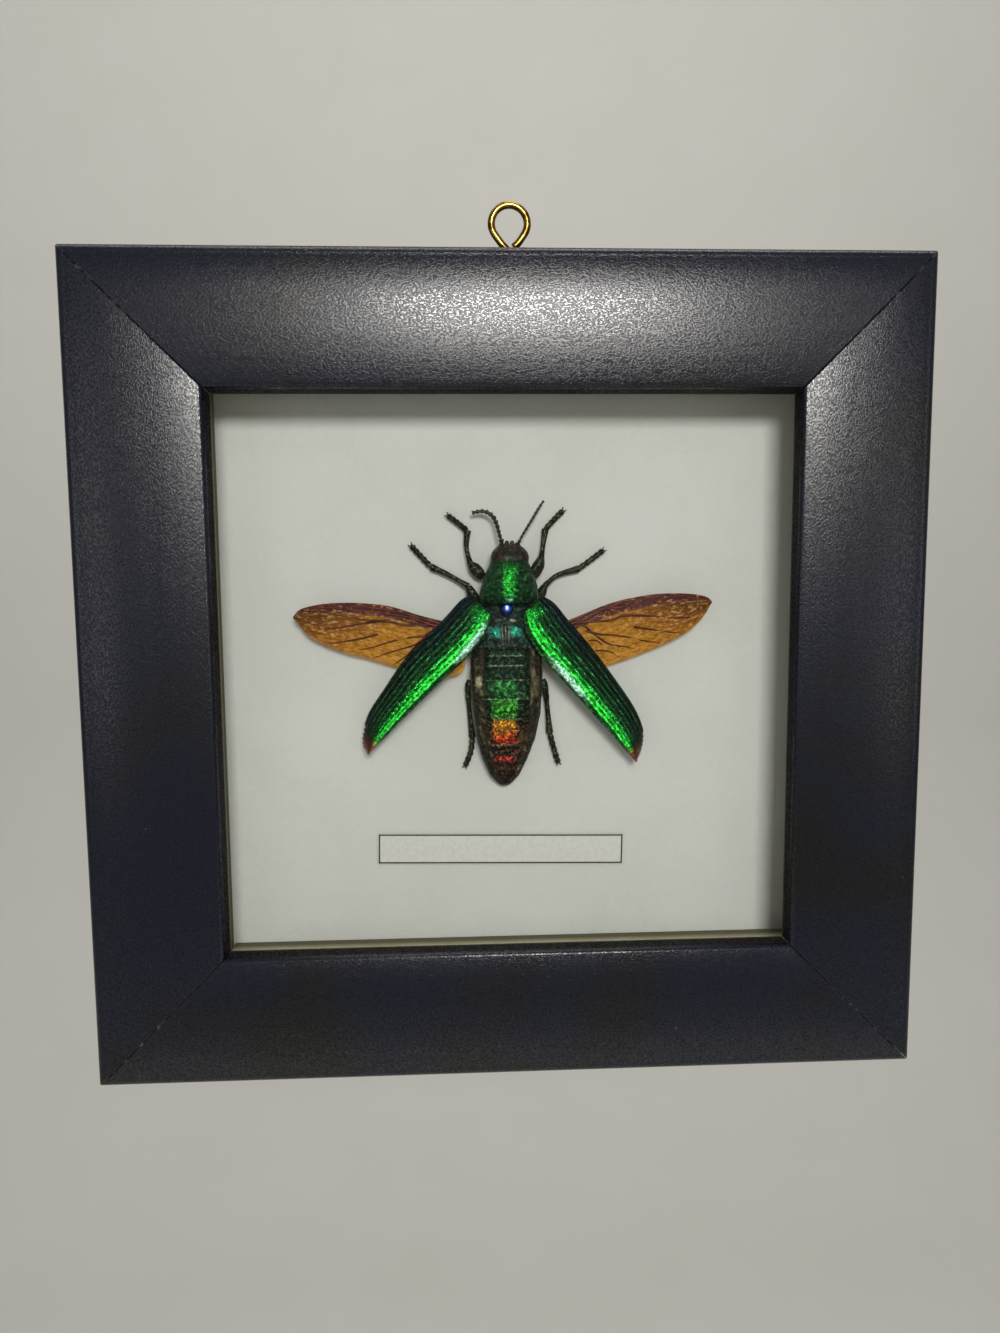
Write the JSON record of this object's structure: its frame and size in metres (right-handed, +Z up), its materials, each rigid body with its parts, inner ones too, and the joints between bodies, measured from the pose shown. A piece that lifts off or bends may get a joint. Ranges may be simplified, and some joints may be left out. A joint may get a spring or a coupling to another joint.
{
  "type": "framed jewel beetle specimen",
  "caption": "Small square black glazed wall frame with a dried jewel beetle, wings spread, and a blank label strip on a pale card; hangs from a brass screw eye.",
  "frame": {"origin": "the hanging point: the top of the inside of the screw eye, at the frame's mid depth", "axes": "+Z up, +X to the right seen from the front, -Y out of the front, +Y to the wall"},
  "size_m": [0.14, 0.022, 0.1474],
  "materials": {
    "black_paint": "wood moulding under satin black paint, fine grain, small scratches at the mitres",
    "glass": "clear flat picture glass",
    "spacer_card": "cream card strip on edge, matte",
    "mount_card": "warm pale grey mount card, matte, very fine tooth",
    "back_board": "brown fibre board, matte",
    "point_steel": "thin rolled steel",
    "eye_brass": "brass-plated wire, lightly tarnished",
    "label_paper": "smooth off-white paper with a thin ruled border",
    "green_shell": "chitin with metallic green structural colour, ribbed and finely pitted, coppery tips",
    "dark_shell": "chitin, dark bronze green to brown, glossy",
    "abdomen_skin": "dry abdomen rings, brown and grey with green and coppery patches",
    "amber_wing": "clear amber wing membrane with dark brown veins"
  },
  "bodies": {
    "root": {"rail_top": "black_paint", "rail_bottom": "black_paint", "rail_left": "black_paint", "rail_right": "black_paint", "glass": "glass", "spacer_top": "spacer_card", "spacer_bottom": "spacer_card", "spacer_left": "spacer_card", "spacer_right": "spacer_card", "mount_card": "mount_card", "back_board": "back_board", "point_top": "point_steel", "point_bottom": "point_steel", "point_left": "point_steel", "point_right": "point_steel", "screw_eye": "eye_brass", "label": "label_paper", "beetle_head": "dark_shell", "beetle_pronotum": "green_shell", "beetle_thorax": "dark_shell", "beetle_abdomen": "abdomen_skin", "elytron_left": "green_shell", "elytron_right": "green_shell", "hindwing_left": "amber_wing", "hindwing_right": "amber_wing", "leg_front_left": "dark_shell", "leg_front_right": "dark_shell", "leg_middle_left": "dark_shell", "leg_middle_right": "dark_shell", "leg_hind_left": "dark_shell", "leg_hind_right": "dark_shell", "antenna_left": "dark_shell", "antenna_right": "dark_shell"}
  },
  "joints": []
}
